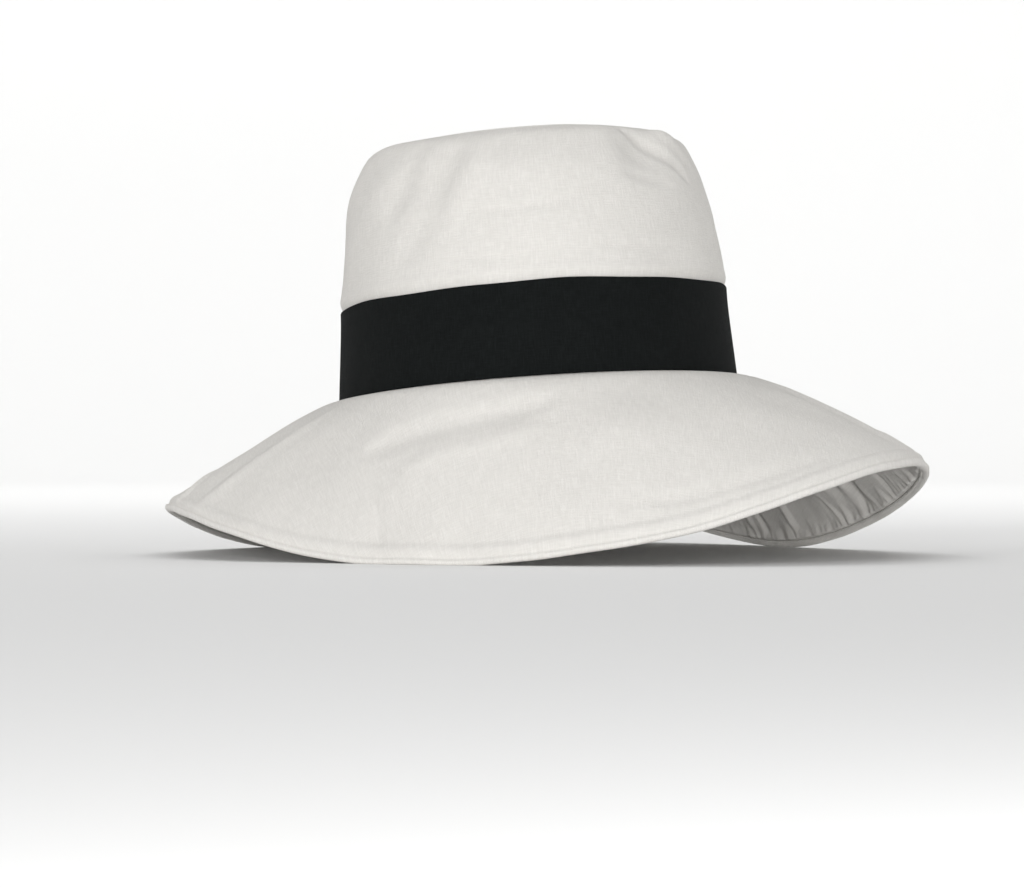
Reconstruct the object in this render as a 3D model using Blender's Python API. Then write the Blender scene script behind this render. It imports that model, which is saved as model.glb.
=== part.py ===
"""A soft cotton sun hat with a ribbon band, resting on its brim. Metres, +Z up, front at -Y, right at +X."""

from math import cos, pi, radians, sin, tau

import bmesh
import bpy
import numpy as np
from mathutils import Vector

# Head opening, clear inside the sweatband
HEAD_WIDTH = 0.172
HEAD_LENGTH = 0.200

# Cloth and the gap kept between pieces
GAP = 0.0003
SWEATBAND_CLOTH = 0.0010
CROWN_CLOTH = 0.0020
RIBBON_CLOTH = 0.0010
BRIM_CLOTH = 0.0010
FACING_CLOTH = 0.0010

# Widths and heights along the cloth
CROWN_HEIGHT = 0.116
RIBBON_WIDTH = 0.0415
SWEATBAND_ABOVE = 0.026
SWEATBAND_BELOW = 0.0035
BRIM_WIDTH = 0.095
BRIM_WIDER = 0.03
WIDEST_AT_DEG = 91.0
BRIM_ROLL = 0.011
BRIM_DROOP = 0.16
LIP_WIDTH = 0.0045

# How it stands: the head opening's middle over the floor, its tilts, and how far the lip is pressed flat
RING_HEIGHT = 0.0735
FRONT_UP_DEG = 3.2
RIGHT_UP_DEG = 3.6
PRESSED = 0.0006

# Offsets from the crown's outer face, positive outward
WALL_IN = -CROWN_CLOTH
SWEAT_OUT = WALL_IN - GAP
SWEAT_IN = SWEAT_OUT - SWEATBAND_CLOTH
RIBBON_IN = GAP
RIBBON_OUT = GAP + RIBBON_CLOTH
WALL_A = HEAD_WIDTH / 2 - SWEAT_IN
WALL_B = HEAD_LENGTH / 2 - SWEAT_IN

# Crown sections from the head opening up: rise as a share of CROWN_HEIGHT, then inset of the outline and its
# shift to the right as shares of HEAD_WIDTH. The last row is the seam of the tip.
CROWN_SECTIONS = (
    (0.000, 0.0000, 0.0000),
    (0.358, 0.0150, 0.0035),
    (0.400, 0.0120, 0.0050),
    (0.475, 0.0175, 0.0070),
    (0.620, 0.0290, 0.0055),
    (0.760, 0.0460, 0.0000),
    (0.860, 0.0710, 0.0010),
    (0.925, 0.1000, 0.0040),
    (0.950, 0.1420, 0.0040),
)

# Soft dents of the crown: bearing, share of the way up the section, half spreads of both, depth / HEAD_WIDTH
CROWN_DENTS = (
    (38.0, 0.84, 15.0, 0.17, 0.020),
    (56.0, 0.92, 13.0, 0.14, -0.010),
    (318.0, 0.74, 20.0, 0.12, 0.012),
    (345.0, 0.90, 18.0, 0.12, 0.008),
    (292.0, 0.98, 34.0, 0.12, -0.014),
    (150.0, 0.78, 24.0, 0.20, 0.014),
    (235.0, 0.82, 22.0, 0.18, 0.012),
)

# Waves of the brim's edge: bearing of the crest, half span in degrees, lift / BRIM_WIDTH
BRIM_WAVES = (
    (2.0, 22.0, 0.040),
    (60.0, 67.5, 0.425),
    (177.5, 50.0, 0.180),
    (277.5, 50.0, 0.214),
)

# Radial folds of the brim: bearing, half width in degrees, first and last share of the width, height / BRIM_WIDTH
BRIM_FOLDS = (
    (14.0, 11.0, 0.10, 0.95, 0.016),
    (88.0, 10.0, 0.05, 0.95, 0.030),
    (106.0, 9.0, 0.05, 0.90, -0.026),
    (152.0, 14.0, 0.15, 0.95, 0.018),
    (204.0, 13.0, 0.15, 0.95, 0.016),
    (252.0, 12.0, 0.10, 0.95, 0.020),
    (308.0, 13.0, 0.05, 0.95, -0.016),
)

CROWN_SEGMENTS = 64
BRIM_SEGMENTS = 80
DRAW_RADIUS = 1.0

COTTON = (0.78, 0.76, 0.73, 1.0)
RIBBON = (0.012, 0.015, 0.016, 1.0)


def smooth(x, xs, ys):
    """Rows of a table joined by a smooth curve that doesn't overshoot."""
    xs = np.asarray(xs, float)
    ys = np.asarray(ys, float)
    run = np.diff(xs)
    rise = np.diff(ys) / run
    slope = np.empty(len(xs))
    slope[0] = rise[0]
    slope[-1] = rise[-1]
    same = rise[:-1] * rise[1:] > 0
    mean = 2 * rise[:-1] * rise[1:] / np.where(same, rise[:-1] + rise[1:], 1)
    slope[1:-1] = np.where(same, mean, 0)
    x = np.clip(np.asarray(x, float), xs[0], xs[-1])
    k = np.clip(np.searchsorted(xs, x, side="right") - 1, 0, len(run) - 1)
    t = (x - xs[k]) / run[k]
    h = run[k]
    a = ys[k] * (1 + 2 * t) * (1 - t) ** 2 + slope[k] * h * t * (1 - t) ** 2
    b = ys[k + 1] * t * t * (3 - 2 * t) + slope[k + 1] * h * t * t * (t - 1)
    return a + b


def bump(distance):
    """1 in the middle, 0 at a distance of 1 and beyond, flat at both."""
    return np.cos(np.clip(np.abs(distance), 0, 1) * pi / 2) ** 2


def bearing_gap(bearing, middle):
    """Degrees from one bearing to another, the short way round."""
    return (np.degrees(bearing) - middle + 180) % 360 - 180


RISES = np.array([row[0] for row in CROWN_SECTIONS]) * CROWN_HEIGHT
INSETS = np.array([row[1] for row in CROWN_SECTIONS]) * HEAD_WIDTH
SHIFTS = np.array([row[2] for row in CROWN_SECTIONS]) * HEAD_WIDTH
WAYS = np.concatenate([[0], np.cumsum(np.hypot(np.diff(RISES), np.diff(INSETS)))])
SEAM_WAY = WAYS[-1]
TIP_WAY = SEAM_WAY + WALL_A - INSETS[-1]


def crown_face(bearing, way):
    """The crown's outer face, from the head opening up to the middle of the tip, in the hat's own frame."""
    on_wall = np.minimum(way, SEAM_WAY)
    rise = smooth(on_wall, WAYS, RISES)
    inset = smooth(on_wall, WAYS, INSETS)
    shift = smooth(on_wall, WAYS, SHIFTS)
    left = 1 - np.maximum(way - SEAM_WAY, 0) / (TIP_WAY - SEAM_WAY)
    rise = rise + (CROWN_HEIGHT - RISES[-1]) * (1 - left**2)
    across = WALL_B * np.sin(bearing)
    along = WALL_A * np.cos(bearing)
    size = np.hypot(across, along)
    dent = 0
    for middle, share, spread, tall, depth in CROWN_DENTS:
        beside = bump(bearing_gap(bearing, middle) / spread)
        above = bump((way / SEAM_WAY - share) / tall)
        dent = dent + depth * HEAD_WIDTH * beside * above
    inset = inset + dent
    x = (WALL_A * np.sin(bearing) - inset * across / size) * left + shift
    y = (-WALL_B * np.cos(bearing) + inset * along / size) * left
    return np.stack([x, y, rise - 0.5 * dent * (way / SEAM_WAY) ** 3 * np.minimum(left, 1)], -1)


def crown_point(bearing, way, out):
    """A point of the crown, moved out from its outer face along the normal."""
    step = GAP
    turn = radians(0.25)
    low = np.maximum(way - step, 0)
    high = np.minimum(way + step, TIP_WAY)
    up = crown_face(bearing, high) - crown_face(bearing, low)
    round_it = crown_face(bearing + turn, way) - crown_face(bearing - turn, way)
    normal = np.cross(round_it, up)
    length = np.linalg.norm(normal, axis=-1, keepdims=True)
    middle = length < GAP * GAP * 1e-4
    normal = np.where(middle, (0, 0, 1), normal / np.where(middle, 1, length))
    flat = np.clip(1 - np.asarray(way)[..., None] / RIBBON_WIDTH, 0, 1)
    level = normal * (1, 1, 0) / np.linalg.norm(normal * (1, 1, 1e-9), axis=-1, keepdims=True)
    normal = normal * (1 - flat) + level * flat
    return crown_face(bearing, way) + normal * np.asarray(out)[..., None]


def settle(point):
    """From the hat's own frame to the floor's: the front and the right side up, the opening over the floor."""
    p = radians(FRONT_UP_DEG)
    r = radians(RIGHT_UP_DEG)
    x, y, z = point[..., 0], point[..., 1], point[..., 2]
    y, z = y * cos(p) + z * sin(p), z * cos(p) - y * sin(p)
    x, z = x * cos(r) - z * sin(r), z * cos(r) + x * sin(r)
    return np.stack([x, y, z + RING_HEIGHT], -1)


PATH_STEPS = np.linspace(0, BRIM_WIDTH + 0.004, 161)


def brim_path(slope):
    """How far out and down the brim has gone at each of PATH_STEPS, and its slope there."""
    turned = np.clip(PATH_STEPS / BRIM_ROLL, 0, 1)
    easing = turned * turned * (3 - 2 * turned)
    here = slope * easing * (1 - BRIM_DROOP + 2 * BRIM_DROOP * PATH_STEPS / BRIM_WIDTH)
    middle = (here[1:] + here[:-1]) / 2
    step = PATH_STEPS[1]
    out = np.concatenate([[0], np.cumsum(np.cos(middle) * step)])
    down = np.concatenate([[0], np.cumsum(np.sin(middle) * step)])
    return out, down, here


def lift(bearing):
    """Height of the lip over the floor."""
    high = 0
    for middle, spread, share in BRIM_WAVES:
        high = high + share * BRIM_WIDTH * bump(bearing_gap(bearing, middle) / spread)
    return high


def fold(bearing, reach):
    """How far the radial folds raise the brim's cloth."""
    high = 0
    for middle, spread, first, last, share in BRIM_FOLDS:
        along = np.clip((reach / BRIM_WIDTH - first) / (last - first), 0, 1)
        high = high + share * BRIM_WIDTH * bump(bearing_gap(bearing, middle) / spread) * np.sin(pi * along) ** 1.3
    return high


def brim_at(bearing, path, reach, up):
    """A point of the brim in the hat's own frame, for one bearing and its path."""
    out, down, slope = path
    inward = np.minimum(reach, 0)
    reach = np.maximum(reach, 0) * (1 + BRIM_WIDER * cos(bearing - radians(WIDEST_AT_DEG)))
    out = np.interp(reach, PATH_STEPS, out) + inward + RIBBON_OUT
    down = np.interp(reach, PATH_STEPS, down) + GAP
    slope = np.interp(reach, PATH_STEPS, slope)
    up = up + fold(bearing, reach)
    across = WALL_B * sin(bearing)
    along = WALL_A * cos(bearing)
    size = np.hypot(across, along)
    out = out + up * np.sin(slope)
    x = WALL_A * sin(bearing) + out * across / size
    y = -WALL_B * cos(bearing) - out * along / size
    return np.stack([x, y, up * np.cos(slope) - down], -1)


LIP_TALL = BRIM_CLOTH * 2 + FACING_CLOTH + GAP * 2
CHAMFER = LIP_TALL / 4
PATHS = {}


def path_for(bearing):
    """The path whose lip comes down to its height over the floor at this bearing."""
    key = round(bearing, 6)
    if key not in PATHS:
        low, high = radians(2), radians(88)
        reach = np.array([BRIM_WIDTH, BRIM_WIDTH - CHAMFER])
        up = np.array([CHAMFER - LIP_TALL, -LIP_TALL])
        wanted = float(lift(bearing)) - PRESSED
        for _ in range(40):
            slope = (low + high) / 2
            lowest = settle(brim_at(bearing, brim_path(slope), reach, up))[:, 2].min()
            if lowest > wanted:
                low = slope
            else:
                high = slope
        PATHS[key] = brim_path(slope)
    return PATHS[key]


def brim_point(bearing, reach, up):
    """Points of the brim; where the lip would go under the floor, it is flattened on it."""
    points = np.empty((len(bearing), 3))
    keys = np.round(bearing, 6)
    for key in np.unique(keys):
        chosen = keys == key
        points[chosen] = brim_at(key, path_for(float(key)), reach[chosen], up[chosen])
    return points


def split_alike(bm):
    """Each four-sided face cut along the same diagonal, so that layers of cloth stay parallel."""
    for face in [f for f in bm.faces if len(f.verts) == 4]:
        middle = face.calc_center_median()
        outward = Vector((middle.x, middle.y, 0)).normalized()
        onward = outward.cross((0, 0, -1))
        corners = list(face.verts)
        first = min(range(4), key=lambda i: (corners[i].co - middle).dot(outward - onward))
        bmesh.utils.face_split(face, corners[first], corners[(first + 2) % 4])


def revolved(name, colour, outline, segments, place, from_middle=False):
    """An outline of (station, offset) spun round Z, then each point set in its place on the hat."""
    drawn = 0 if from_middle else DRAW_RADIUS
    bm = bmesh.new()
    verts = [bm.verts.new((0, -(drawn + station), offset)) for station, offset in outline]
    loop = list(zip(verts, verts[1:] + verts[:1]))
    if from_middle:
        loop = loop[:-1]
    edges = [bm.edges.new(pair) for pair in loop]
    bmesh.ops.spin(bm, geom=verts + edges, cent=(0, 0, 0), axis=(0, 0, 1), angle=tau, steps=segments)
    bmesh.ops.remove_doubles(bm, verts=bm.verts, dist=2e-5)
    split_alike(bm)
    co = np.array([v.co for v in bm.verts])
    bearing = np.arctan2(co[:, 0], -co[:, 1]) % tau
    bearing = np.round(bearing * segments / tau) % segments * tau / segments
    station = np.hypot(co[:, 0], co[:, 1]) - drawn
    points = settle(place(bearing, station, co[:, 2]))
    points[:, 2] = np.maximum(points[:, 2], 0)
    for vert, point in zip(bm.verts, points):
        vert.co = point
    bmesh.ops.recalc_face_normals(bm, faces=bm.faces)
    if bm.calc_volume(signed=True) < 0:
        bmesh.ops.reverse_faces(bm, faces=bm.faces)
    mesh = bpy.data.meshes.new(name)
    bm.to_mesh(mesh)
    bm.free()
    mesh.shade_smooth()
    mesh.materials.append(cloth(f"{name}_cloth", colour))
    obj = bpy.data.objects.new(name, mesh)
    bpy.context.scene.collection.objects.link(obj)
    obj.parent = hat
    return obj


def cloth(name, colour):
    made = bpy.data.materials.new(name)
    made.use_nodes = True
    shader = made.node_tree.nodes["Principled BSDF"]
    shader.inputs["Base Color"].default_value = colour
    shader.inputs["Roughness"].default_value = 0.9
    shader.inputs["Metallic"].default_value = 0.0
    return made


def strip(stations, outer, inner):
    """The closed outline of a layer of cloth between two offsets."""
    return [(s, outer) for s in stations] + [(s, inner) for s in reversed(stations)]


for old in list(bpy.data.objects):
    bpy.data.objects.remove(old, do_unlink=True)

# The middle of the brim's outline is set over the origin, by the empty that carries every piece
round_the_lip = np.tile(np.arange(BRIM_SEGMENTS) * tau / BRIM_SEGMENTS, 2)
lip_edges = np.repeat([-CHAMFER, CHAMFER - LIP_TALL], BRIM_SEGMENTS)
lip = settle(brim_point(round_the_lip, np.full(2 * BRIM_SEGMENTS, BRIM_WIDTH), lip_edges))
PLACE = -(lip[:, :2].min(0) + lip[:, :2].max(0)) / 2
hat = bpy.data.objects.new("sun_hat", None)
hat.location = (*PLACE, 0)
bpy.context.scene.collection.objects.link(hat)

# Crown side and its tip, which meet at the seam
wall_rows = [0, RIBBON_WIDTH / 2, RIBBON_WIDTH, *WAYS[2:-1], SEAM_WAY - GAP / 2]
revolved("crown_side", COTTON, strip(wall_rows, 0, WALL_IN), CROWN_SEGMENTS, crown_point)

across_tip = TIP_WAY - SEAM_WAY


def tip_point(bearing, from_middle, out):
    """The tip is drawn from its middle outward."""
    return crown_point(bearing, TIP_WAY - from_middle, out)


tip_rows = [0, 0.45 * across_tip, 0.78 * across_tip, across_tip - GAP / 2]
tip_outline = [(s, 0) for s in tip_rows] + [(s, WALL_IN) for s in reversed(tip_rows)]
revolved("crown_tip", COTTON, tip_outline, CROWN_SEGMENTS, tip_point, from_middle=True)

# Ribbon round the outside and sweatband round the inside, both on the crown side
ribbon_rows = [0, RIBBON_WIDTH / 2, RIBBON_WIDTH - GAP]
revolved("hat_band", RIBBON, strip(ribbon_rows, RIBBON_OUT, RIBBON_IN), CROWN_SEGMENTS, crown_point)


def sweat_point(bearing, way, out):
    """Below the head opening the sweatband goes straight down."""
    point = crown_point(bearing, np.maximum(way, 0), out)
    point[:, 2] += np.minimum(way, 0)
    return point


sweat_rows = [-SWEATBAND_BELOW, 0, RIBBON_WIDTH / 2, SWEATBAND_ABOVE]
revolved("sweatband", RIBBON, strip(sweat_rows, SWEAT_OUT, SWEAT_IN), CROWN_SEGMENTS, sweat_point)

# Brim in two layers of cloth: the top one turns round the edge as a lip and holds the facing's edge
INNER_EDGE = WALL_IN - RIBBON_OUT
brim_rows = [INNER_EDGE, 0, 0.008, 0.020, 0.042, 0.066, 0.088]
under_top = -BRIM_CLOTH
inside = BRIM_WIDTH - BRIM_CLOTH
lip_outline = [
    (BRIM_WIDTH - CHAMFER, 0),
    (BRIM_WIDTH, -CHAMFER),
    (BRIM_WIDTH, CHAMFER - LIP_TALL),
    (BRIM_WIDTH - CHAMFER, -LIP_TALL),
    (BRIM_WIDTH - LIP_WIDTH, -LIP_TALL),
    (BRIM_WIDTH - LIP_WIDTH, BRIM_CLOTH - LIP_TALL),
    (inside, BRIM_CLOTH - LIP_TALL),
    (inside, under_top),
]
top_outline = [(s, 0) for s in brim_rows] + lip_outline + [(s, under_top) for s in reversed(brim_rows)]
revolved("brim_top", COTTON, top_outline, BRIM_SEGMENTS, brim_point)

facing_out = under_top - GAP
facing_rows = [*brim_rows, inside - GAP]
revolved("brim_facing", COTTON, strip(facing_rows, facing_out, facing_out - FACING_CLOTH), BRIM_SEGMENTS, brim_point)
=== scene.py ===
"""The looks of a soft cotton sun hat: cloth, turned edge, stitches, folds and ribbons. Metres, +Z up."""

from math import cos, pi, radians, sin, tau

import bmesh
import bpy
import numpy as np
from mathutils import Matrix, Vector


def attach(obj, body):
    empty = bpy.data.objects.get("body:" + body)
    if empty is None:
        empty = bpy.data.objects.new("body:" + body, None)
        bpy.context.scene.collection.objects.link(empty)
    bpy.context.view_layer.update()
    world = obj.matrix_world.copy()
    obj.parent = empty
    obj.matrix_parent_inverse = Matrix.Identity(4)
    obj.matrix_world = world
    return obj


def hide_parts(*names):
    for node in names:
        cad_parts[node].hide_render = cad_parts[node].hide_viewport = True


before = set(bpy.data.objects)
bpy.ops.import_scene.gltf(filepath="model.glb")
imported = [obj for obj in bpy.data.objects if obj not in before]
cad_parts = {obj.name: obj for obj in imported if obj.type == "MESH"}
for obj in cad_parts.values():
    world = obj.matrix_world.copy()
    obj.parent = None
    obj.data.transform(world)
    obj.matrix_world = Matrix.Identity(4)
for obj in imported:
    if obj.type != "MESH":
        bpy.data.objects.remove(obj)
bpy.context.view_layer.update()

# Sizes of the hat, as the solids have them
HEAD_WIDTH = 0.172
HEAD_LENGTH = 0.200
GAP = 0.0003
SWEATBAND_CLOTH = 0.0010
CROWN_CLOTH = 0.0020
RIBBON_CLOTH = 0.0010
BRIM_CLOTH = 0.0010
FACING_CLOTH = 0.0010
CROWN_HEIGHT = 0.116
RIBBON_WIDTH = 0.0415
SWEATBAND_ABOVE = 0.026
SWEATBAND_BELOW = 0.0035
BRIM_WIDTH = 0.095
BRIM_WIDER = 0.03
WIDEST_AT_DEG = 91.0
BRIM_ROLL = 0.011
BRIM_DROOP = 0.16
RING_HEIGHT = 0.0735
FRONT_UP_DEG = 3.2
RIGHT_UP_DEG = 3.6
PRESSED = 0.0006

WALL_IN = -CROWN_CLOTH
SWEAT_OUT = WALL_IN - GAP
SWEAT_IN = SWEAT_OUT - SWEATBAND_CLOTH
RIBBON_IN = GAP
RIBBON_OUT = GAP + RIBBON_CLOTH
WALL_A = HEAD_WIDTH / 2 - SWEAT_IN
WALL_B = HEAD_LENGTH / 2 - SWEAT_IN
WALL_MEAN = (WALL_A + WALL_B) / 2
LIP_TALL = BRIM_CLOTH * 2 + FACING_CLOTH + GAP * 2
CHAMFER = LIP_TALL / 4

# Crown sections from the head opening up: rise / CROWN_HEIGHT, inset and shift to the right / HEAD_WIDTH
CROWN_SECTIONS = (
    (0.000, 0.0000, 0.0000),
    (0.358, 0.0150, 0.0035),
    (0.400, 0.0120, 0.0050),
    (0.475, 0.0175, 0.0070),
    (0.620, 0.0290, 0.0055),
    (0.760, 0.0460, 0.0000),
    (0.860, 0.0710, 0.0010),
    (0.925, 0.1000, 0.0040),
    (0.950, 0.1420, 0.0040),
)

# Soft dents of the crown: bearing, share of the way up the section, half spreads of both, depth / HEAD_WIDTH
CROWN_DENTS = (
    (38.0, 0.84, 15.0, 0.17, 0.020),
    (56.0, 0.92, 13.0, 0.14, -0.010),
    (318.0, 0.74, 20.0, 0.12, 0.012),
    (345.0, 0.90, 18.0, 0.12, 0.008),
    (292.0, 0.98, 34.0, 0.12, -0.014),
    (150.0, 0.78, 24.0, 0.20, 0.014),
    (235.0, 0.82, 22.0, 0.18, 0.012),
)

# Waves of the brim's edge: bearing of the crest, half span in degrees, lift / BRIM_WIDTH
BRIM_WAVES = (
    (2.0, 22.0, 0.040),
    (60.0, 67.5, 0.425),
    (177.5, 50.0, 0.180),
    (277.5, 50.0, 0.214),
)

# Radial folds of the brim: bearing, half width in degrees, first and last share of the brim's width,
# height / BRIM_WIDTH
BRIM_FOLDS = (
    (14.0, 11.0, 0.10, 0.95, 0.016),
    (88.0, 10.0, 0.05, 0.95, 0.030),
    (106.0, 9.0, 0.05, 0.90, -0.026),
    (152.0, 14.0, 0.15, 0.95, 0.018),
    (204.0, 13.0, 0.15, 0.95, 0.016),
    (252.0, 12.0, 0.10, 0.95, 0.020),
    (308.0, 13.0, 0.05, 0.95, -0.016),
)

# Creases of the brim: height of the line (below 0 is a valley seen from above), half width, then the line
# itself as bearing and share of the brim's width
BRIM_CREASES = (
    (-0.0018, 0.009, ((4, 0.17), (-10, 0.25), (-22, 0.29), (-33, 0.35), (-45, 0.50))),
    (0.0010, 0.007, ((0, 0.33), (-12, 0.40), (-24, 0.46), (-34, 0.56))),
    (-0.0010, 0.005, ((6, 0.80), (20, 0.83), (36, 0.84), (48, 0.80))),
    (0.0026, 0.009, ((86, -0.02), (95, 0.24), (97, 0.40), (99, 0.59), (100, 0.84), (100, 1.2))),
    (-0.0022, 0.005, ((93, 0.04), (98.5, 0.36), (101.5, 0.66))),
    (0.0020, 0.008, ((97, -0.02), (103, 0.27), (105, 0.53), (103, 0.90))),
    (0.0024, 0.014, ((79, -0.02), (74, 0.35), (71, 0.62), (71, 0.84), (72, 1.2))),
    (0.0012, 0.003, ((73, 0.62), (72, 0.82), (72, 1.15))),
    (0.0012, 0.003, ((75, 0.68), (78, 0.86), (78, 1.12))),
    (0.0010, 0.003, ((91, 0.66), (90, 1.12))),
    (0.0011, 0.006, ((119, 0.12), (116, 0.30), (117, 0.46))),
    (0.0014, 0.004, ((132, 0.62), (130, 0.82), (128, 1.15))),
    (-0.0010, 0.009, ((158, 0.10), (163, 0.45), (161, 0.85))),
    (0.0012, 0.006, ((186, 0.20), (189, 0.60), (187, 1.15))),
    (-0.0008, 0.007, ((214, 0.08), (217, 0.40), (222, 0.80))),
    (0.0012, 0.004, ((242, 0.52), (243, 0.80), (243, 1.15))),
    (0.0013, 0.004, ((250, 0.55), (252, 0.80), (253, 1.15))),
    (0.0014, 0.0035, ((278, 0.66), (282, 0.90), (284, 1.15))),
    (0.0013, 0.009, ((298, 0.10), (294, 0.40), (291, 0.85), (290, 1.15))),
    (-0.0008, 0.006, ((322, 0.55), (326, 0.80), (328, 0.98))),
)

# Slack folds of the facing, which hangs a little from the upper cloth: how far it hangs, then as above
FACING_SAGS = (
    (0.0020, 0.0048, ((94, 0.06), (98.5, 0.36), (101.5, 0.66), (102, 0.86))),
    (0.0013, 0.0070, ((82, 0.05), (84, 0.35), (85, 0.62), (85, 0.90))),
    (0.0013, 0.0055, ((113, 0.08), (111, 0.40), (109, 0.80))),
    (0.0013, 0.0045, ((123, 0.45), (121, 0.75), (120, 0.96))),
    (0.0014, 0.0045, ((137, 0.45), (134, 0.75), (133, 0.96))),
    (0.0011, 0.0050, ((66, 0.45), (66, 0.75), (67, 0.96))),
    (0.0010, 0.0060, ((150, 0.30), (152, 0.60), (151, 0.90))),
    (0.0010, 0.0060, ((198, 0.25), (196, 0.55), (197, 0.88))),
    (0.0010, 0.0050, ((228, 0.35), (230, 0.65), (229, 0.94))),
    (0.0013, 0.0045, ((239, 0.42), (238, 0.72), (237, 0.96))),
    (0.0013, 0.0050, ((262, 0.36), (264, 0.70), (265, 0.96))),
    (0.0011, 0.0045, ((272, 0.50), (274, 0.76), (275, 0.96))),
)

# Creases of the crown, in the same columns, its lines as bearing and share of the way up to the tip's seam
CROWN_CREASES = (
    (-0.0014, 0.014, ((335, 0.99), (328, 0.72), (317, 0.50), (312, 0.44))),
    (0.0009, 0.012, ((344, 0.97), (338, 0.76), (330, 0.58))),
    (-0.0009, 0.011, ((322, 0.96), (314, 0.76), (306, 0.60))),
    (-0.0005, 0.004, ((338, 0.62), (350, 0.615), (362, 0.63), (374, 0.66))),
    (-0.0004, 0.003, ((328, 0.455), (345, 0.44), (362, 0.45))),
    (-0.0005, 0.004, ((374, 0.47), (390, 0.455), (408, 0.47))),
    (-0.0016, 0.006, ((390, 0.99), (397, 0.93), (405, 0.85), (414, 0.78), (421, 0.70))),
    (0.0011, 0.006, ((408, 0.97), (418, 0.88), (428, 0.80))),
    (-0.0006, 0.005, ((386, 0.76), (398, 0.72), (410, 0.69))),
    (-0.0012, 0.008, ((446, 0.98), (452, 0.78), (464, 0.60))),
    (-0.0006, 0.004, ((438, 0.46), (456, 0.44), (474, 0.47))),
    (-0.0014, 0.009, ((510, 0.97), (502, 0.75), (496, 0.58))),
    (0.0009, 0.007, ((521, 0.95), (515, 0.74))),
    (-0.0005, 0.004, ((500, 0.45), (520, 0.47), (536, 0.45))),
    (-0.0013, 0.008, ((232, 0.97), (236, 0.78), (246, 0.60))),
    (0.0008, 0.007, ((222, 0.90), (226, 0.72))),
    (-0.0005, 0.004, ((206, 0.46), (222, 0.44), (240, 0.46))),
    (-0.0010, 0.007, ((282, 0.96), (276, 0.78), (266, 0.62))),
)

# Density of the meshes
CROWN_STEPS = 640
BRIM_STEPS = 1000

# Stitch line round the brim, and the puckers that it draws into the cloth
SEAM_FROM_EDGE = 0.0028
SHOWN_LIP = 0.0038
STITCH_PITCH = 0.0032
STITCH_LONG = 0.0026
THREAD = 0.00040
STITCH_PROUD = 0.00008
PUCKERS = 260

# The brim's edge from above: the seam's groove and the soft roll beside it
STRIP_RISE = 0.00015
SEAM_GROOVE = 0.00055
SEAM_GROOVE_HALF = 0.0010
EDGE_ROLL = 0.00090
EDGE_ROLL_AT = 0.0062
EDGE_ROLL_HALF = 0.0036
TOP_PUCKER = 0.00040
STITCH_TUG = 0.00005

# The facing: how far it is brought up to the lip, and the height of its puckers
FACING_FULL = 0.0007
FACING_FULL_OVER = 0.005
FACING_PUCKER = 0.0016

# Both layers of the brim: cloth near the edge takes this much less of a crease; pleats and unevenness
EDGE_CALM = 0.8
EDGE_CALM_OVER = 0.012
PLEAT = 0.0009
BRIM_UNEVEN = 0.00045
BRIM_UNEVEN_OVER = 0.034

# The crown: unevenness of its side and tip, the turn at the tip's seam, and the swell over the ribbon
SIDE_UNEVEN = 0.0005
SIDE_UNEVEN_OVER = 0.038
TIP_UNEVEN = 0.0009
TIP_UNEVEN_OVER = 0.046
SEAM_TURN = 0.0007
SEAM_TURN_OVER = 0.0016
SIDE_PUCKER = 0.00018
TIP_PUCKER = 0.00020
RIBBON_SWELL = 0.0006

# Width of one yarn of the cotton and of the ribbon
YARN = 0.00042
RIBBON_YARN = 0.00034


def smooth(x, xs, ys):
    """Rows of a table joined by a smooth curve that doesn't overshoot."""
    xs = np.asarray(xs, float)
    ys = np.asarray(ys, float)
    run = np.diff(xs)
    rise = np.diff(ys) / run
    slope = np.empty(len(xs))
    slope[0] = rise[0]
    slope[-1] = rise[-1]
    same = rise[:-1] * rise[1:] > 0
    mean = 2 * rise[:-1] * rise[1:] / np.where(same, rise[:-1] + rise[1:], 1)
    slope[1:-1] = np.where(same, mean, 0)
    x = np.clip(np.asarray(x, float), xs[0], xs[-1])
    k = np.clip(np.searchsorted(xs, x, side="right") - 1, 0, len(run) - 1)
    t = (x - xs[k]) / run[k]
    h = run[k]
    a = ys[k] * (1 + 2 * t) * (1 - t) ** 2 + slope[k] * h * t * (1 - t) ** 2
    b = ys[k + 1] * t * t * (3 - 2 * t) + slope[k + 1] * h * t * t * (t - 1)
    return a + b


def bump(distance):
    """1 in the middle, 0 at a distance of 1 and beyond, flat at both."""
    return np.cos(np.clip(np.abs(distance), 0, 1) * pi / 2) ** 2


def eased(share):
    """0 below 0, 1 above 1, flat at both."""
    t = np.clip(share, 0, 1)
    return t * t * (3 - 2 * t)


def bearing_gap(bearing, middle):
    """Degrees from one bearing to another, the short way round."""
    return (np.degrees(bearing) - middle + 180) % 360 - 180


RISES = np.array([row[0] for row in CROWN_SECTIONS]) * CROWN_HEIGHT
INSETS = np.array([row[1] for row in CROWN_SECTIONS]) * HEAD_WIDTH
SHIFTS = np.array([row[2] for row in CROWN_SECTIONS]) * HEAD_WIDTH
WAYS = np.concatenate([[0], np.cumsum(np.hypot(np.diff(RISES), np.diff(INSETS)))])
SEAM_WAY = WAYS[-1]
TIP_WAY = SEAM_WAY + WALL_A - INSETS[-1]


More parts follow.
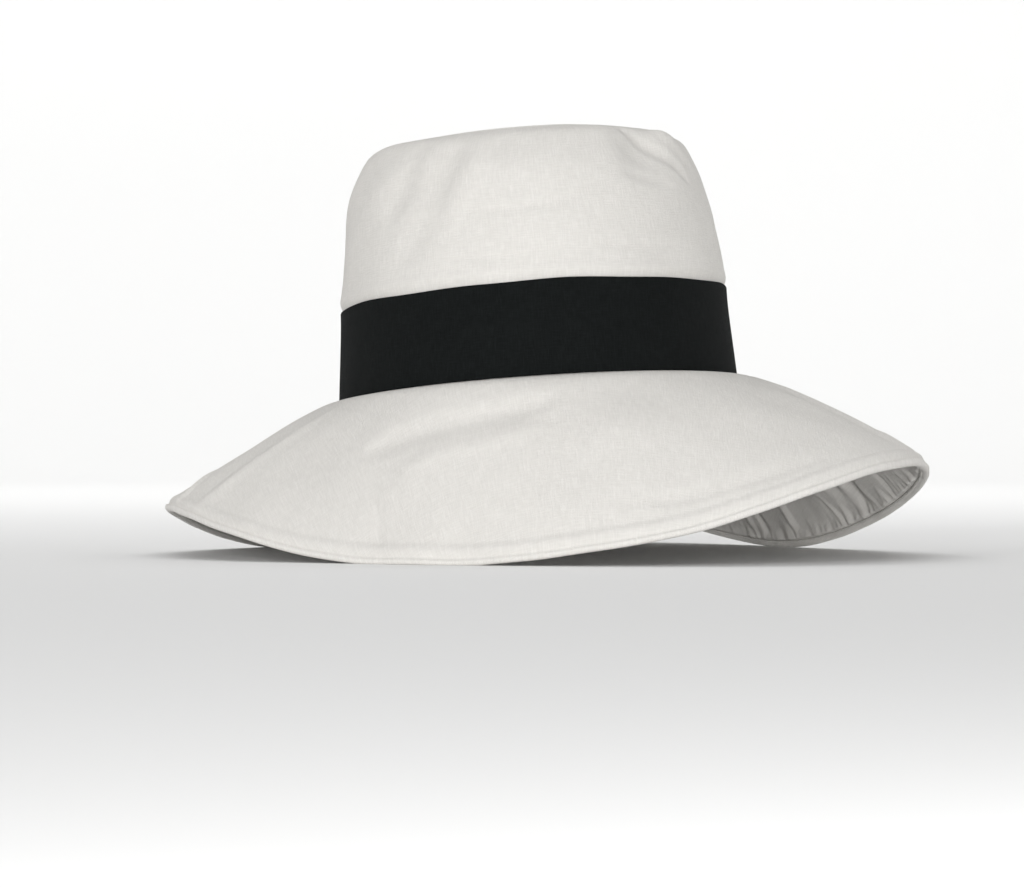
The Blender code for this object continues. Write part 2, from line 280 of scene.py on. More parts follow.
def crown_face(bearing, way):
    """The crown's outer face, from the head opening up to the middle of the tip, in the hat's own frame."""
    on_wall = np.minimum(way, SEAM_WAY)
    rise = smooth(on_wall, WAYS, RISES)
    inset = smooth(on_wall, WAYS, INSETS)
    shift = smooth(on_wall, WAYS, SHIFTS)
    left = 1 - np.maximum(way - SEAM_WAY, 0) / (TIP_WAY - SEAM_WAY)
    rise = rise + (CROWN_HEIGHT - RISES[-1]) * (1 - left**2)
    across = WALL_B * np.sin(bearing)
    along = WALL_A * np.cos(bearing)
    size = np.hypot(across, along)
    dent = 0
    for middle, share, spread, tall, depth in CROWN_DENTS:
        beside = bump(bearing_gap(bearing, middle) / spread)
        above = bump((way / SEAM_WAY - share) / tall)
        dent = dent + depth * HEAD_WIDTH * beside * above
    inset = inset + dent
    x = (WALL_A * np.sin(bearing) - inset * across / size) * left + shift
    y = (-WALL_B * np.cos(bearing) + inset * along / size) * left
    return np.stack([x, y, rise - 0.5 * dent * (way / SEAM_WAY) ** 3 * np.minimum(left, 1)], -1)


def crown_point(bearing, way, out):
    """A point of the crown, moved out from its outer face along the normal."""
    step = GAP
    turn = radians(0.25)
    low = np.maximum(way - step, 0)
    high = np.minimum(way + step, TIP_WAY)
    up = crown_face(bearing, high) - crown_face(bearing, low)
    round_it = crown_face(bearing + turn, way) - crown_face(bearing - turn, way)
    normal = np.cross(round_it, up)
    length = np.linalg.norm(normal, axis=-1, keepdims=True)
    middle = length < GAP * GAP * 1e-4
    normal = np.where(middle, (0, 0, 1), normal / np.where(middle, 1, length))
    flat = np.clip(1 - np.asarray(way)[..., None] / RIBBON_WIDTH, 0, 1)
    level = normal * (1, 1, 0) / np.linalg.norm(normal * (1, 1, 1e-9), axis=-1, keepdims=True)
    normal = normal * (1 - flat) + level * flat
    return crown_face(bearing, way) + normal * np.asarray(out)[..., None]


def settle(point):
    """From the hat's own frame to the floor's: the front and the right side go up, the opening over it."""
    p = radians(FRONT_UP_DEG)
    r = radians(RIGHT_UP_DEG)
    x, y, z = point[..., 0], point[..., 1], point[..., 2]
    y, z = y * cos(p) + z * sin(p), z * cos(p) - y * sin(p)
    x, z = x * cos(r) - z * sin(r), z * cos(r) + x * sin(r)
    return np.stack([x, y, z + RING_HEIGHT], -1)


# Steps along the brim, from the ribbon to a little past the edge, because the brim is wider on one side
PATH_STEPS = np.linspace(0, BRIM_WIDTH + 0.004, 161)


def brim_paths(slope):
    """How far out and down the brim has gone at each of PATH_STEPS, and its slope there; a row per slope."""
    easing = eased(PATH_STEPS / BRIM_ROLL)
    here = slope[:, None] * easing * (1 - BRIM_DROOP + 2 * BRIM_DROOP * PATH_STEPS / BRIM_WIDTH)
    middle = (here[:, 1:] + here[:, :-1]) / 2
    start = np.zeros((len(slope), 1))
    out = np.hstack([start, np.cumsum(np.cos(middle) * PATH_STEPS[1], axis=1)])
    down = np.hstack([start, np.cumsum(np.sin(middle) * PATH_STEPS[1], axis=1)])
    return out, down, here


def read_rows(table, row, reach):
    """A table's value at a reach between its columns, in the row of each point."""
    at = reach / PATH_STEPS[1]
    column = np.clip(at.astype(int), 0, len(PATH_STEPS) - 2)
    part = np.minimum(at - column, 1)
    return table[row, column] * (1 - part) + table[row, column + 1] * part


def lift(bearing):
    """Height of the lip over the floor."""
    waves = (share * bump(bearing_gap(bearing, at) / spread) for at, spread, share in BRIM_WAVES)
    return BRIM_WIDTH * sum(waves)


def fold(bearing, reach):
    """How far the radial folds raise the brim's cloth."""
    high = 0
    for middle, spread, first, last, share in BRIM_FOLDS:
        along = np.clip((reach / BRIM_WIDTH - first) / (last - first), 0, 1)
        across = bump(bearing_gap(bearing, middle) / spread)
        high = high + share * BRIM_WIDTH * across * np.sin(pi * along) ** 1.3
    return high


def brim_at(bearing, paths, row, reach, up):
    """Points of the brim in the hat's own frame, each on its row of the paths."""
    inward = np.minimum(reach, 0)
    reach = np.maximum(reach, 0) * (1 + BRIM_WIDER * np.cos(bearing - radians(WIDEST_AT_DEG)))
    out, down, slope = (read_rows(table, row, reach) for table in paths)
    up = up + fold(bearing, reach)
    across = WALL_B * np.sin(bearing)
    along = WALL_A * np.cos(bearing)
    size = np.hypot(across, along)
    out = out + inward + RIBBON_OUT + up * np.sin(slope)
    x = WALL_A * np.sin(bearing) + out * across / size
    y = -WALL_B * np.cos(bearing) - out * along / size
    return np.stack([x, y, up * np.cos(slope) - down - GAP], -1)


def paths_for(bearing):
    """The paths whose lip comes down to its height over the floor at each bearing."""
    row = np.arange(len(bearing))
    low = np.full(len(bearing), radians(2))
    high = np.full(len(bearing), radians(88))
    wanted = lift(bearing) - PRESSED
    for _ in range(40):
        slope = (low + high) / 2
        paths = brim_paths(slope)
        corners = ((BRIM_WIDTH, CHAMFER - LIP_TALL), (BRIM_WIDTH - CHAMFER, -LIP_TALL))
        ends = [settle(brim_at(bearing, paths, row, np.full(len(row), r), u))[:, 2] for r, u in corners]
        too_high = np.minimum(*ends) > wanted
        low = np.where(too_high, slope, low)
        high = np.where(too_high, high, slope)
    return brim_paths(slope)


# The middle of the lip's outline is over the origin, found from as many bearings as the solids have
SOLID_BEARINGS = 80
LIP_BEARINGS = np.arange(SOLID_BEARINGS) * tau / SOLID_BEARINGS
lip_paths = paths_for(LIP_BEARINGS)
lip_rows = np.arange(SOLID_BEARINGS)
lip_reach = np.full(SOLID_BEARINGS, BRIM_WIDTH)
lip = np.concatenate([
    settle(brim_at(LIP_BEARINGS, lip_paths, lip_rows, lip_reach, up)) for up in (-CHAMFER, CHAMFER - LIP_TALL)
])
PLACE = np.array([*-(lip[:, :2].min(0) + lip[:, :2].max(0)) / 2, 0])

BEARINGS = np.arange(BRIM_STEPS) * tau / BRIM_STEPS
PATHS = paths_for(BEARINGS)


def brim_flat(bearing, reach):
    """Places on the brim's flat pattern, in metres."""
    radius = WALL_MEAN + reach
    return np.stack([radius * np.sin(bearing), -radius * np.cos(bearing)], -1)


def crown_flat(bearing, way):
    """Places on the crown side's flat pattern, in metres, cut open at the back."""
    from_front = (bearing + pi) % tau - pi
    return np.stack([from_front * WALL_MEAN, way], -1)


def crease_height(at, line, half_width, height):
    """How far one crease raises the cloth at places of the flat pattern; it narrows and sinks at its ends."""
    high = np.zeros(len(at))
    margin = half_width * 1.1
    near = np.all((at > line.min(0) - margin) & (at < line.max(0) + margin), axis=1)
    spot = at[near]
    best = np.full(len(spot), 1.0)
    share = np.zeros(len(spot))
    runs = np.linalg.norm(np.diff(line, axis=0), axis=1)
    starts = np.concatenate([[0], np.cumsum(runs)])
    for a, b, run, start in zip(line, line[1:], runs, starts):
        along = np.clip((spot - a) @ (b - a) / run**2, 0, 1)
        distance = np.linalg.norm(spot - a - along[:, None] * (b - a), axis=1)
        closer = distance < best
        best = np.where(closer, distance, best)
        share = np.where(closer, (start + along * run) / starts[-1], share)
    ends = eased(share / 0.25) * eased((1 - share) / 0.25)
    high[near] = height * ends * bump(best / (half_width * (0.45 + 0.55 * ends)))
    return high


def creases(at, table, flat, unit):
    """All creases of a table, whose lines are bearing and share of a length."""
    high = np.zeros(len(at))
    for height, half_width, rows in table:
        steps = np.linspace(0, 1, len(rows))
        fine = np.linspace(0, 1, 20)
        bearing = smooth(fine, steps, [row[0] for row in rows])
        share = smooth(fine, steps, [row[1] for row in rows])
        if flat is crown_flat:
            line = np.stack([radians(1) * bearing * WALL_MEAN, share * unit], -1)
            for turn in (0, -tau):
                high += crease_height(at, line + (turn * WALL_MEAN, 0), half_width, height)
        else:
            high += crease_height(at, flat(np.radians(bearing), share * unit), half_width, height)
    return high


def softness(point, size, seed):
    """Gentle unevenness of cloth that has been handled, from a few fixed waves; about -1 to 1."""
    random = np.random.default_rng(seed)
    total = 0
    for _ in range(9):
        direction = random.normal(size=point.shape[-1])
        direction /= np.linalg.norm(direction)
        length = size * random.uniform(0.7, 1.6)
        total = total + np.sin(point @ direction * tau / length + random.uniform(0, tau))
    return total / 4.5


def puckers(bearing, from_seam, strength, seed, count=PUCKERS, shortest=0.002, longest=0.020, rise=0.0012):
    """Small folds that a seam draws into the cloth, running away from it; 0 to about 1."""
    random = np.random.default_rng(seed)
    middles = (np.arange(count) + random.uniform(-0.35, 0.35, count)) * 360 / count
    high = np.zeros(len(bearing))
    for middle in middles:
        here = strength(radians(middle))
        long = shortest + (longest - shortest) * random.uniform(0, 1) ** 1.8 * here
        wide = 360 / count * random.uniform(0.45, 0.85)
        slant = random.uniform(-60, 60)
        tall = random.uniform(0.35, 1.0) * here
        across = bearing_gap(bearing, middle) + slant * from_seam
        near = np.abs(across) < wide
        away = from_seam[near]
        fall = eased(away / rise) * (1 - eased(away / long))
        high[near] += tall * bump(across[near] / wide) * fall
    return high


def drawn_in(bearing):
    """How strongly the edge's seam draws in the cloth: most at the two side corners."""
    left = bump(bearing_gap(bearing, 258) / 75)
    right = bump(bearing_gap(bearing, 92) / 85)
    return 0.35 + 0.65 * np.maximum(left, right)


def away_from_front(bearing):
    """0 over the smooth front of the brim, 1 round its sides and back."""
    return eased((np.abs(bearing_gap(bearing, -10)) - 48) / 25)


def brim_crumple(bearing, reach):
    """Creases, pleats and unevenness that both layers of the brim share."""
    at = brim_flat(bearing, reach)
    from_edge = np.maximum(BRIM_WIDTH - reach, 0)
    high = creases(at, BRIM_CREASES, brim_flat, BRIM_WIDTH)
    high *= 1 - EDGE_CALM * eased(1 - from_edge / EDGE_CALM_OVER)
    high += BRIM_UNEVEN * softness(at, BRIM_UNEVEN_OVER, 3) * eased(reach / 0.02)
    raised = puckers(bearing, from_edge, away_from_front, 31, 58, 0.012, longest=0.060, rise=0.010)
    sunk = puckers(bearing, from_edge, away_from_front, 32, 47, 0.012, longest=0.050, rise=0.010)
    return high + PLEAT * (raised - sunk)


def brim_point(bearing, reach, up):
    """Points of the brim on the floor's frame."""
    row = np.round(bearing / tau * BRIM_STEPS).astype(int) % BRIM_STEPS
    return settle(brim_at(bearing, PATHS, row, reach, up + brim_crumple(bearing, reach)))


def brim_top_point(bearing, reach, up):
    """The upper cloth: a flat strip at its edge, the stitched groove, and the soft roll beside it."""
    from_edge = BRIM_WIDTH - reach
    outside = eased((up + BRIM_CLOTH) / BRIM_CLOTH) * (reach > 0)
    roll = 0.75 + 0.25 * np.cos(bearing - radians(20))
    relief = STRIP_RISE * bump((from_edge - 0.0015) / 0.0012)
    relief -= SEAM_GROOVE * bump((from_edge - SEAM_FROM_EDGE) / SEAM_GROOVE_HALF)
    relief += EDGE_ROLL * roll * bump((from_edge - EDGE_ROLL_AT) / EDGE_ROLL_HALF)
    drawn = puckers(bearing, from_edge - SEAM_FROM_EDGE, drawn_in, 11)
    relief += TOP_PUCKER * drawn * (from_edge > SEAM_FROM_EDGE)
    tug = np.cos(bearing * round(tau * 0.172 / STITCH_PITCH))
    relief += STITCH_TUG * tug * bump((from_edge - SEAM_FROM_EDGE) / 0.0022)
    return brim_point(bearing, reach, up + relief * outside)


def brim_facing_point(bearing, reach, up):
    """The cloth under the brim, gathered into small puckers along the lip."""
    from_lip = np.maximum(BRIM_WIDTH - SHOWN_LIP - 0.0004 - reach, 0)
    under = up < -BRIM_CLOTH - GAP - FACING_CLOTH / 2
    full = (1 - eased(from_lip / FACING_FULL_OVER)) * (reach < BRIM_WIDTH - SHOWN_LIP)
    drawn = puckers(bearing, from_lip, drawn_in, 12, shortest=0.006, longest=0.028)
    sag = creases(brim_flat(bearing, reach), FACING_SAGS, brim_flat, BRIM_WIDTH)
    return brim_point(bearing, reach, up - (FACING_FULL * full + FACING_PUCKER * drawn + sag) * under)


def crown_side_point(bearing, way, out):
    """The crown's side with its creases, turned in at the seam of the tip."""
    at = crown_flat(bearing, way)
    free = eased((way - RIBBON_WIDTH) / 0.008)
    relief = creases(at, CROWN_CREASES, crown_flat, SEAM_WAY)
    relief += SIDE_UNEVEN * softness(crown_face(bearing, way), SIDE_UNEVEN_OVER, 5)
    from_seam = SEAM_WAY - way
    near_seam = puckers(bearing, np.maximum(from_seam, 0), even, 21)
    relief = relief * free * (1 - 0.5 * bump(from_seam / 0.006)) + SIDE_PUCKER * near_seam
    relief -= SEAM_TURN * np.clip(1 - from_seam / SEAM_TURN_OVER, 0, 1) ** 2
    relief += RIBBON_SWELL * bump((way - RIBBON_WIDTH - 0.0035) / 0.0045)
    return settle(crown_point(bearing, way, out + relief))


def even(bearing):
    """A seam that draws in the cloth alike all round."""
    return 0.5


def crown_tip_point(bearing, from_middle, out):
    """The oval tip, softly uneven, turned in at its seam."""
    way = TIP_WAY - from_middle
    from_seam = np.maximum(way - SEAM_WAY, 0)
    at = crown_face(bearing, way)
    relief = TIP_UNEVEN * softness(at, TIP_UNEVEN_OVER, 8) * eased(from_seam / 0.012)
    relief += TIP_PUCKER * puckers(bearing, from_seam, even, 22)
    relief -= SEAM_TURN * np.clip(1 - from_seam / SEAM_TURN_OVER, 0, 1) ** 2
    return settle(crown_point(bearing, way, out + relief))


def ribbon_point(bearing, way, out):
    """The ribbon round the crown; its edges wander a little."""
    wander = 0.00030 * np.sin(5 * bearing + 1.1) + 0.00018 * np.sin(11 * bearing + 0.4)
    relief = 0.00012 * softness(crown_face(bearing, way), 0.03, 9)
    outer = out > (RIBBON_IN + RIBBON_OUT) / 2
    way = way + (wander - 0.0002) * eased((way - RIBBON_WIDTH / 2) / (RIBBON_WIDTH / 2))
    return settle(crown_point(bearing, way, out + relief * outer))


def sweatband_point(bearing, way, out):
    """The band inside the head opening; below the opening it goes straight down."""
    point = crown_point(bearing, np.maximum(way, 0), out)
    point[:, 2] += np.minimum(way, 0)
    return settle(point)


def turned(name, outline, steps, place, flat, closed=True):
    """An outline of (station, offset) turned round the hat: a grid whose columns are bearings all round and
    whose rows are the outline's points, each set in its place. Its flat pattern becomes the UV map."""
    stations = np.array([point[0] for point in outline])
    offsets = np.array([point[1] for point in outline])
    rows = len(outline) if closed else len(outline) - 1
    bm = bmesh.new()
    bmesh.ops.create_grid(bm, x_segments=steps, y_segments=rows, size=0.5)
    co = np.array([vert.co for vert in bm.verts])
    column = np.round((co[:, 0] + 0.5) * steps).astype(int) % steps
    row = np.round((co[:, 1] + 0.5) * rows).astype(int) % len(outline)
    bearing = column * tau / steps
    points = place(bearing, stations[row], offsets[row]) + PLACE
    points[:, 2] = np.maximum(points[:, 2], 0)
    for vert, point in zip(bm.verts, points):
        vert.co = point
    pattern = bm.verts.layers.float_vector.new("pattern")
    for vert, (u, v) in zip(bm.verts, flat(bearing, stations[row] + offsets[row])):
        vert[pattern] = (u, v, 0)
    bmesh.ops.remove_doubles(bm, verts=bm.verts, dist=1e-6)
    bmesh.ops.recalc_face_normals(bm, faces=bm.faces)
    if bm.calc_volume(signed=True) < 0:
        bmesh.ops.reverse_faces(bm, faces=bm.faces)
    places = np.array([vert[pattern] for vert in bm.verts])[:, :2]
    bm.verts.layers.float_vector.remove(pattern)
    mesh = bpy.data.meshes.new(name)
    bm.to_mesh(mesh)
    bm.free()
    mesh.shade_smooth()
    lay_flat(mesh, places)
    return piece(name, mesh)


def lay_flat(mesh, pattern):
    """The UV map "cloth" in metres; faces that cross the back seam are kept whole."""
    corner = np.empty(len(mesh.loops), int)
    mesh.loops.foreach_get("vertex_index", corner)
    uv = pattern[corner]
    if len(corner) == 4 * len(mesh.polygons):
        faces = uv[:, 0].reshape(-1, 4)
        split = faces.max(1) - faces.min(1) > WALL_MEAN * pi
        faces[split] += np.where(faces[split] < 0, tau * WALL_MEAN, 0)
        uv[:, 0] = faces.reshape(-1)
    layer = mesh.uv_layers.new(name="cloth")
    layer.uv.foreach_set("vector", uv.reshape(-1).astype(np.float32))


def piece(name, mesh):
    """A new object of the hat, at the origin."""
    obj = bpy.data.objects.new(name, mesh)
    bpy.context.scene.collection.objects.link(obj)
    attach(obj, "root")
    return obj


def rounded(low, high, outer, inner, rows, steps=4):
    """The closed outline of a band: rows up its outer face, a round edge, down its inner face and back."""
    half = (outer - inner) / 2
    middle = (outer + inner) / 2
    turn = np.linspace(0, pi, steps + 2)[1:-1]
    face = np.linspace(low + half, high - half, rows)
    top = [(high - half + half * sin(t), middle + half * cos(t)) for t in turn]
    bottom = [(low + half - half * sin(t), middle - half * cos(t)) for t in turn]
    back = face[::-1][:: max(1, rows // 12)]
    return [(s, outer) for s in face] + top + [(s, inner) for s in [*back[:-1], face[0]]] + bottom


class Socket:
    """An output of a material's node, so that its maths reads as plain expressions."""

    def __init__(self, recipe, socket):
        self.recipe = recipe
        self.socket = socket

    def maths(self, operation, *others):
        values = {k: value for k, value in enumerate((self, *others))}
        return self.recipe.node("ShaderNodeMath", {"operation": operation}, values)

    def __add__(self, other):
        return self.maths("ADD", other)

    def __sub__(self, other):
        return self.maths("SUBTRACT", other)

    def __mul__(self, other):
        return self.maths("MULTIPLY", other)

    def __rsub__(self, other):
        return self.recipe.node("ShaderNodeMath", {"operation": "SUBTRACT"}, {0: other, 1: self})

    __radd__ = __add__
    __rmul__ = __mul__

    def sine(self):
        return self.maths("SINE")

    def size(self):
        return self.maths("ABSOLUTE")

    def larger(self, other):
        return self.maths("MAXIMUM", other)

    def between(self, low, high):
        """0 at low, 1 at high, held in between."""
        values = {"Value": self, "From Min": low, "From Max": high}
        return self.recipe.node("ShaderNodeMapRange", {"clamp": True}, values)


class Recipe:
    """A material, with one method that makes any node."""

    def __init__(self, name):
        self.material = bpy.data.materials.new(name)
        self.material.use_nodes = True
        self.tree = self.material.node_tree
        self.shader = self.tree.nodes["Principled BSDF"]

    def node(self, kind, settings=None, values=None, output=0):
        made = self.tree.nodes.new(kind)
        for key, value in (settings or {}).items():
            setattr(made, key, value)
        for key, value in (values or {}).items():
            self.give(made.inputs[key], value)
        return Socket(self, made.outputs[output])

    def give(self, socket, value):
        if isinstance(value, Socket):
            self.tree.links.new(value.socket, socket)
        else:
            socket.default_value = value

    def set(self, **values):
        for key, value in values.items():
            self.give(self.shader.inputs[key.replace("_", " ")], value)

    def noise(self, vector, scale, detail=2.0, roughness=0.5):
        values = {"Vector": vector, "Scale": scale, "Detail": detail, "Roughness": roughness}
        return self.node("ShaderNodeTexNoise", None, values)

    def stretched(self, u, v, along_u, along_v):
        """Noise drawn out along one of the cloth's directions, in features per metre."""
        vector = self.node("ShaderNodeCombineXYZ", None, {0: u * along_u, 1: v * along_v})
        return self.noise(vector, 1.0, 1.0)

    def bumped(self, height, distance, values=None):
        """A normal from a height, this many metres tall."""
        given = {"Strength": 1.0, "Distance": distance, "Height": height}
        return self.node("ShaderNodeBump", None, given | (values or {}))

    def blend(self, share, first, second):
        values = {0: share, 6: first, 7: second}
        return self.node("ShaderNodeMix", {"data_type": "RGBA"}, values, 2)


def woven(name, light, dark, yarn, depth, slub, roughness, sheen, specular):
    """Plain-woven cloth: crossing yarns of uneven thickness, painted shadow in the weave's gaps, and soft
    changes of tone.
    """
    recipe = Recipe(name)
    uv = recipe.node("ShaderNodeUVMap", {"uv_map": "cloth"})
    spot = recipe.node("ShaderNodeTexCoord", output="Object")
    wander = recipe.noise(spot, 90.0, 2.0) - 0.5
    u = recipe.node("ShaderNodeSeparateXYZ", None, {0: uv}) + wander * (yarn * 2.2)
    v = recipe.node("ShaderNodeSeparateXYZ", None, {0: uv}, 1) - wander * (yarn * 2.2)
    wave_u = (u * (pi / yarn)).sine()
    wave_v = (v * (pi / yarn)).sine()
    crossing = wave_u * wave_v
    weave = (wave_u.size() + crossing).larger(wave_v.size() - crossing) * 0.5
    thick_u = recipe.stretched(u, v, 0.9 / yarn, 0.055 / yarn)
    thick_v = recipe.stretched(u, v, 0.055 / yarn, 0.9 / yarn)
    knots = recipe.stretched(u, v, 0.40 / yarn, 0.07 / yarn).between(0.45, 0.80)
    slubs = thick_u.between(0.35, 0.75) + thick_v.between(0.35, 0.75) + knots
    tone = recipe.noise(spot, 38.0, 3.0, 0.6)
    height = weave + slubs * slub
    # Colour: lighter on the yarns' crowns and darker in the weave's gaps, which is painted shadow; the slubs
    # and the random tone are the cloth's own.
    painted_gap_shading_and_tone = weave * 0.35 + slubs * 0.20 + tone.between(0.25, 0.75) * 0.10
    colour = recipe.blend(painted_gap_shading_and_tone.between(0.0, 0.70), dark, light)
    crumple = recipe.noise(spot, 120.0, 3.0, 0.55)
    soft = recipe.bumped(crumple, 0.00025)
    normal = recipe.bumped(height, depth, {"Normal": soft})
    rough = roughness - weave * 0.08 + tone * 0.05
    recipe.set(Base_Color=colour, Roughness=rough, Metallic=0.0, Normal=normal)
    recipe.set(Sheen_Weight=sheen, Sheen_Roughness=0.45, Specular_IOR_Level=specular)
    return recipe.material


def thread(name, light, dark):
    """Twisted sewing thread."""
    recipe = Recipe(name)
    spot = recipe.node("ShaderNodeTexCoord", output="Object")
    strands = recipe.noise(spot, 2600.0, 2.0)
    normal = recipe.bumped(strands, 0.0001, {"Strength": 0.6})
    recipe.set(Base_Color=recipe.blend(strands, dark, light), Roughness=0.62, Metallic=0.0, Normal=normal)
    recipe.set(Sheen_Weight=0.2)
    return recipe.material


cotton = woven(
    "cotton",
    light=(0.84, 0.82, 0.785, 1),
    dark=(0.69, 0.67, 0.635, 1),
    yarn=YARN,
    depth=0.00013,
    slub=0.40,
    roughness=0.93,
    sheen=0.10,
    specular=0.2,
)
ribbon = woven(
    "black_ribbon",
    light=(0.0105, 0.0125, 0.0125, 1),
    dark=(0.0025, 0.0030, 0.0031, 1),
    yarn=RIBBON_YARN,
    depth=0.00009,
    slub=0.35,
    roughness=0.85,
    sheen=0.0,
    specular=0.07,
)
sewing_thread = thread("sewing_thread", light=(0.84, 0.82, 0.79, 1), dark=(0.66, 0.64, 0.60, 1))



def finished(obj, material, slot, *nodes):
    """A piece gets its cloth, and the solids that it stands for are hidden; slot is not used."""
    obj.data.materials.append(material)
    if nodes:
        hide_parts(*nodes)


# Crown
side_rows = np.linspace(0, SEAM_WAY - GAP / 2, 96)
side_inside = side_rows[::-1][::8]
side_outline = [(s, 0) for s in side_rows] + [(s, WALL_IN) for s in [*side_inside, 0]]
crown_side = turned("crown_side_cloth", side_outline, CROWN_STEPS, crown_side_point, crown_flat)
finished(crown_side, cotton, "cotton", "crown_side")

across_tip = TIP_WAY - SEAM_WAY - GAP / 2


def tip_flat(bearing, from_middle):
    """Places on the tip's flat pattern, in metres."""
    return np.stack([from_middle * np.sin(bearing), -from_middle * np.cos(bearing) * WALL_B / WALL_A], -1)


tip_rows = np.concatenate([
    np.linspace(0, across_tip - 0.004, 40),
    np.linspace(across_tip - 0.0035, across_tip, 8),
])
tip_outline = [(s, 0) for s in tip_rows] + [(s, WALL_IN) for s in [*tip_rows[::-1][::4], 0]]
crown_tip = turned("crown_tip_cloth", tip_outline, 400, crown_tip_point, tip_flat, closed=False)
finished(crown_tip, cotton, "cotton", "crown_tip")

# Ribbons
band_outline = rounded(0.0, RIBBON_WIDTH - GAP, RIBBON_OUT, RIBBON_IN, 30)
hat_band = turned("hat_band_ribbon", band_outline, CROWN_STEPS, ribbon_point, crown_flat)
finished(hat_band, ribbon, "black_ribbon", "hat_band")
sweat_outline = rounded(-SWEATBAND_BELOW, SWEATBAND_ABOVE, SWEAT_OUT, SWEAT_IN, 22)
sweatband = turned("sweatband_ribbon", sweat_outline, CROWN_STEPS, sweatband_point, crown_flat)
finished(sweatband, ribbon, "black_ribbon", "sweatband")

# Brim: the upper cloth, whose edge turns under as a round lip
INNER_EDGE = WALL_IN - RIBBON_OUT
half_lip = LIP_TALL / 2
edge_turn = np.linspace(0, pi, 11)[1:-1]
top_rows = np.concatenate([
    np.linspace(INNER_EDGE, 0, 3),
    np.linspace(0.0022, 0.0800, 34),
    np.linspace(0.0806, BRIM_WIDTH - half_lip, 22),
])
lip_round = [(BRIM_WIDTH - half_lip + half_lip * sin(t), -half_lip + half_lip * cos(t)) for t in edge_turn]
lip_under = [(s, -LIP_TALL) for s in np.linspace(BRIM_WIDTH - half_lip, BRIM_WIDTH - SHOWN_LIP + 0.0003, 4)]
lip_back = [
    (BRIM_WIDTH - SHOWN_LIP, 0.0004 - LIP_TALL),
    (BRIM_WIDTH - SHOWN_LIP, BRIM_CLOTH - LIP_TALL),
    (BRIM_WIDTH - BRIM_CLOTH, BRIM_CLOTH - LIP_TALL),
    (BRIM_WIDTH - BRIM_CLOTH, -BRIM_CLOTH),
]
under_rows = np.linspace(0.088, INNER_EDGE, 12)
brim_inside = [(s, -BRIM_CLOTH) for s in under_rows]
brim_outline = [(s, 0) for s in top_rows] + lip_round + lip_under + lip_back + brim_inside
brim_top = turned("brim_top_cloth", brim_outline, BRIM_STEPS, brim_top_point, brim_flat)
finished(brim_top, cotton, "cotton", "brim_top")

# Brim: the facing, whose edge lies inside the lip
FACING_OUT = -BRIM_CLOTH - GAP
facing_edge = BRIM_WIDTH - BRIM_CLOTH - GAP
facing_rows = np.concatenate([
    np.linspace(INNER_EDGE, 0, 3),
    np.linspace(0.0022, 0.070, 30),
    np.linspace(0.0708, facing_edge, 30),
])
facing_back = [INNER_EDGE, 0, 0.008, 0.020, 0.031, 0.042, 0.054, 0.066, 0.077, 0.088, facing_edge]
facing_outline = [(s, FACING_OUT) for s in facing_back]
facing_outline += [(s, FACING_OUT - FACING_CLOTH) for s in facing_rows[::-1]]
brim_facing = turned("brim_facing_cloth", facing_outline, BRIM_STEPS, brim_facing_point, brim_flat)
finished(brim_facing, cotton, "cotton", "brim_facing")


def stitches(name, place, up):
    """A line of machine stitches round the brim, each a small grain of thread along the seam."""
    count = round(tau * (WALL_MEAN + BRIM_WIDTH - SEAM_FROM_EDGE) / STITCH_PITCH)
    turns = np.round(np.arange(count) / count * BRIM_STEPS)
    bearing = turns * tau / BRIM_STEPS
    reach = np.full(count, BRIM_WIDTH - SEAM_FROM_EDGE)
    offset = np.full(count, up)
    middle = place(bearing, reach, offset) + PLACE
    step = tau / BRIM_STEPS
    onward = place((turns + 1) * step, reach, offset) - place((turns - 1) * step, reach, offset)
    outward = place(bearing, reach + 0.0004, offset) - place(bearing, reach - 0.0004, offset)
    bm = bmesh.new()
    bmesh.ops.create_uvsphere(bm, u_segments=6, v_segments=6, radius=1)
    grain = bpy.data.meshes.new("grain")
    bm.to_mesh(grain)
    bm.clear()
    for at, ahead, aside in zip(middle, onward, outward):
        ahead = Vector(ahead).normalized()
        normal = Vector(aside).cross(ahead).normalized()
        aside = ahead.cross(normal)
        axes = (ahead * STITCH_LONG / 2, aside * THREAD / 2, normal * THREAD / 2)
        turn = Matrix(axes).transposed().to_4x4()
        turn.translation = Vector(at)
        one = grain.copy()
        one.transform(turn)
        bm.from_mesh(one)
        bpy.data.meshes.remove(one)
    bpy.data.meshes.remove(grain)
    bmesh.ops.recalc_face_normals(bm, faces=bm.faces)
    mesh = bpy.data.meshes.new(name)
    bm.to_mesh(mesh)
    bm.free()
    mesh.shade_smooth()
    obj = piece(name, mesh)
    finished(obj, sewing_thread, "cotton")


stitches("edge_stitching_top", brim_top_point, STITCH_PROUD)
stitches("edge_stitching_under", brim_point, -LIP_TALL - STITCH_PROUD)


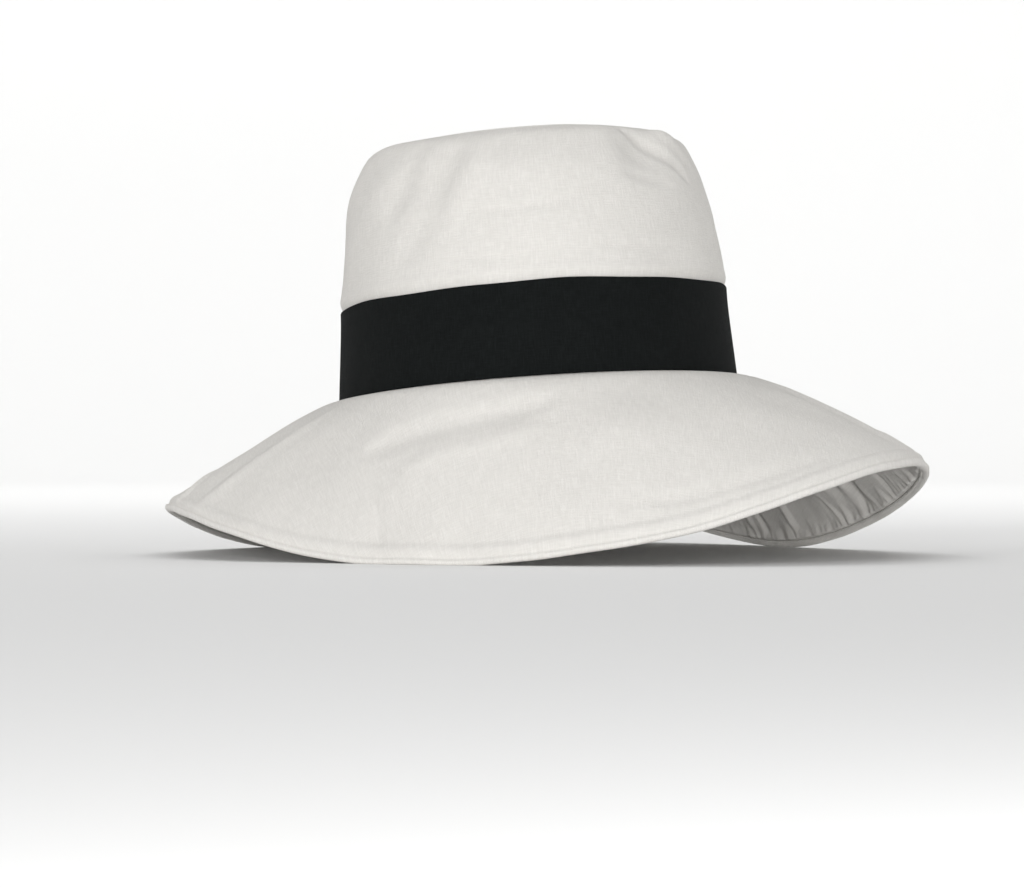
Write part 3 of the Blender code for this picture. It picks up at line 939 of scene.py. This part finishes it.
def sweep():
    """The pale floor, curving up into a round wall far behind."""
    wall_at = 4.0
    wall_top = 1.5
    bend = 1.2
    turn = np.linspace(0, pi / 2, 24)
    curve = [(wall_at - bend + bend * sin(t), bend - bend * cos(t)) for t in turn]
    outline = [(0, 0), *curve, (wall_at, wall_top)]
    bm = bmesh.new()
    verts = [bm.verts.new((0, -r, z)) for r, z in outline]
    edges = [bm.edges.new(pair) for pair in zip(verts, verts[1:])]
    bmesh.ops.spin(bm, geom=verts + edges, axis=(0, 0, 1), angle=tau, steps=96, use_merge=True)
    bmesh.ops.remove_doubles(bm, verts=bm.verts, dist=1e-4)
    bmesh.ops.recalc_face_normals(bm, faces=bm.faces)
    mesh = bpy.data.meshes.new("floor_sweep")
    bm.to_mesh(mesh)
    bm.free()
    mesh.shade_smooth()
    paper = Recipe("pale_paper")
    paper.set(Base_Color=(0.93, 0.93, 0.925, 1), Roughness=0.9, Metallic=0.0)
    mesh.materials.append(paper.material)
    obj = bpy.data.objects.new("floor_sweep", mesh)
    bpy.context.scene.collection.objects.link(obj)


sweep()

# Light: name, place, aim, width, height, watts
LIGHTS = (
    ("key_light", (-1.3, -1.8, 0.70), (0.0, 0.0, 0.10), 0.9, 0.8, 12.5),
    ("under_light", (0.12, -1.48, 0.045), (0.10, 0.0, 0.05), 0.40, 0.07, 8.5),
    ("right_fill", (1.9, -0.7, 0.9), (0.0, 0.0, 0.08), 1.2, 1.2, 2.0),
    ("backdrop_light", (0.0, 1.3, 2.6), (0.0, 3.4, 0.0), 3.6, 1.4, 60.0),
)
for name, at, aim, wide, tall, watts in LIGHTS:
    data = bpy.data.lights.new(name, "AREA")
    data.shape = "RECTANGLE"
    data.size = wide
    data.size_y = tall
    data.energy = watts
    lamp = bpy.data.objects.new(name, data)
    towards = Vector(aim) - Vector(at)
    lamp.matrix_world = Matrix.Translation(at) @ towards.to_track_quat("-Z", "Y").to_matrix().to_4x4()
    bpy.context.scene.collection.objects.link(lamp)

scene = bpy.context.scene
world = bpy.data.worlds.new("studio")
world.use_nodes = True
world.node_tree.nodes["Background"].inputs["Color"].default_value = (1, 1, 1, 1)
world.node_tree.nodes["Background"].inputs["Strength"].default_value = 0.42
scene.world = world
scene.view_settings.view_transform = "Standard"

# Camera: the photograph's side and distance, brought up from under the hat to just over the floor
CAMERA_BEARING_DEG = -3.0
CAMERA_FAR = 1.5
CAMERA_HEIGHT = 0.05
CAMERA_LEFT = 0.0118
LENS = 115.8
turn = radians(CAMERA_BEARING_DEG)
camera_data = bpy.data.cameras.new("camera")
camera_data.lens = LENS
camera_data.sensor_width = 36
camera_data.dof.use_dof = False
camera = bpy.data.objects.new("camera", camera_data)
aim = Vector((PLACE[0], PLACE[1], 0))
away = Vector((sin(turn), -cos(turn), 0))
left = Vector((-cos(turn), -sin(turn), 0))
camera.matrix_world = (
    Matrix.Translation(aim + away * CAMERA_FAR + left * CAMERA_LEFT + Vector((0, 0, CAMERA_HEIGHT)))
    @ Matrix.Rotation(turn, 4, "Z")
    @ Matrix.Rotation(pi / 2, 4, "X")
)
scene.collection.objects.link(camera)
scene.camera = camera
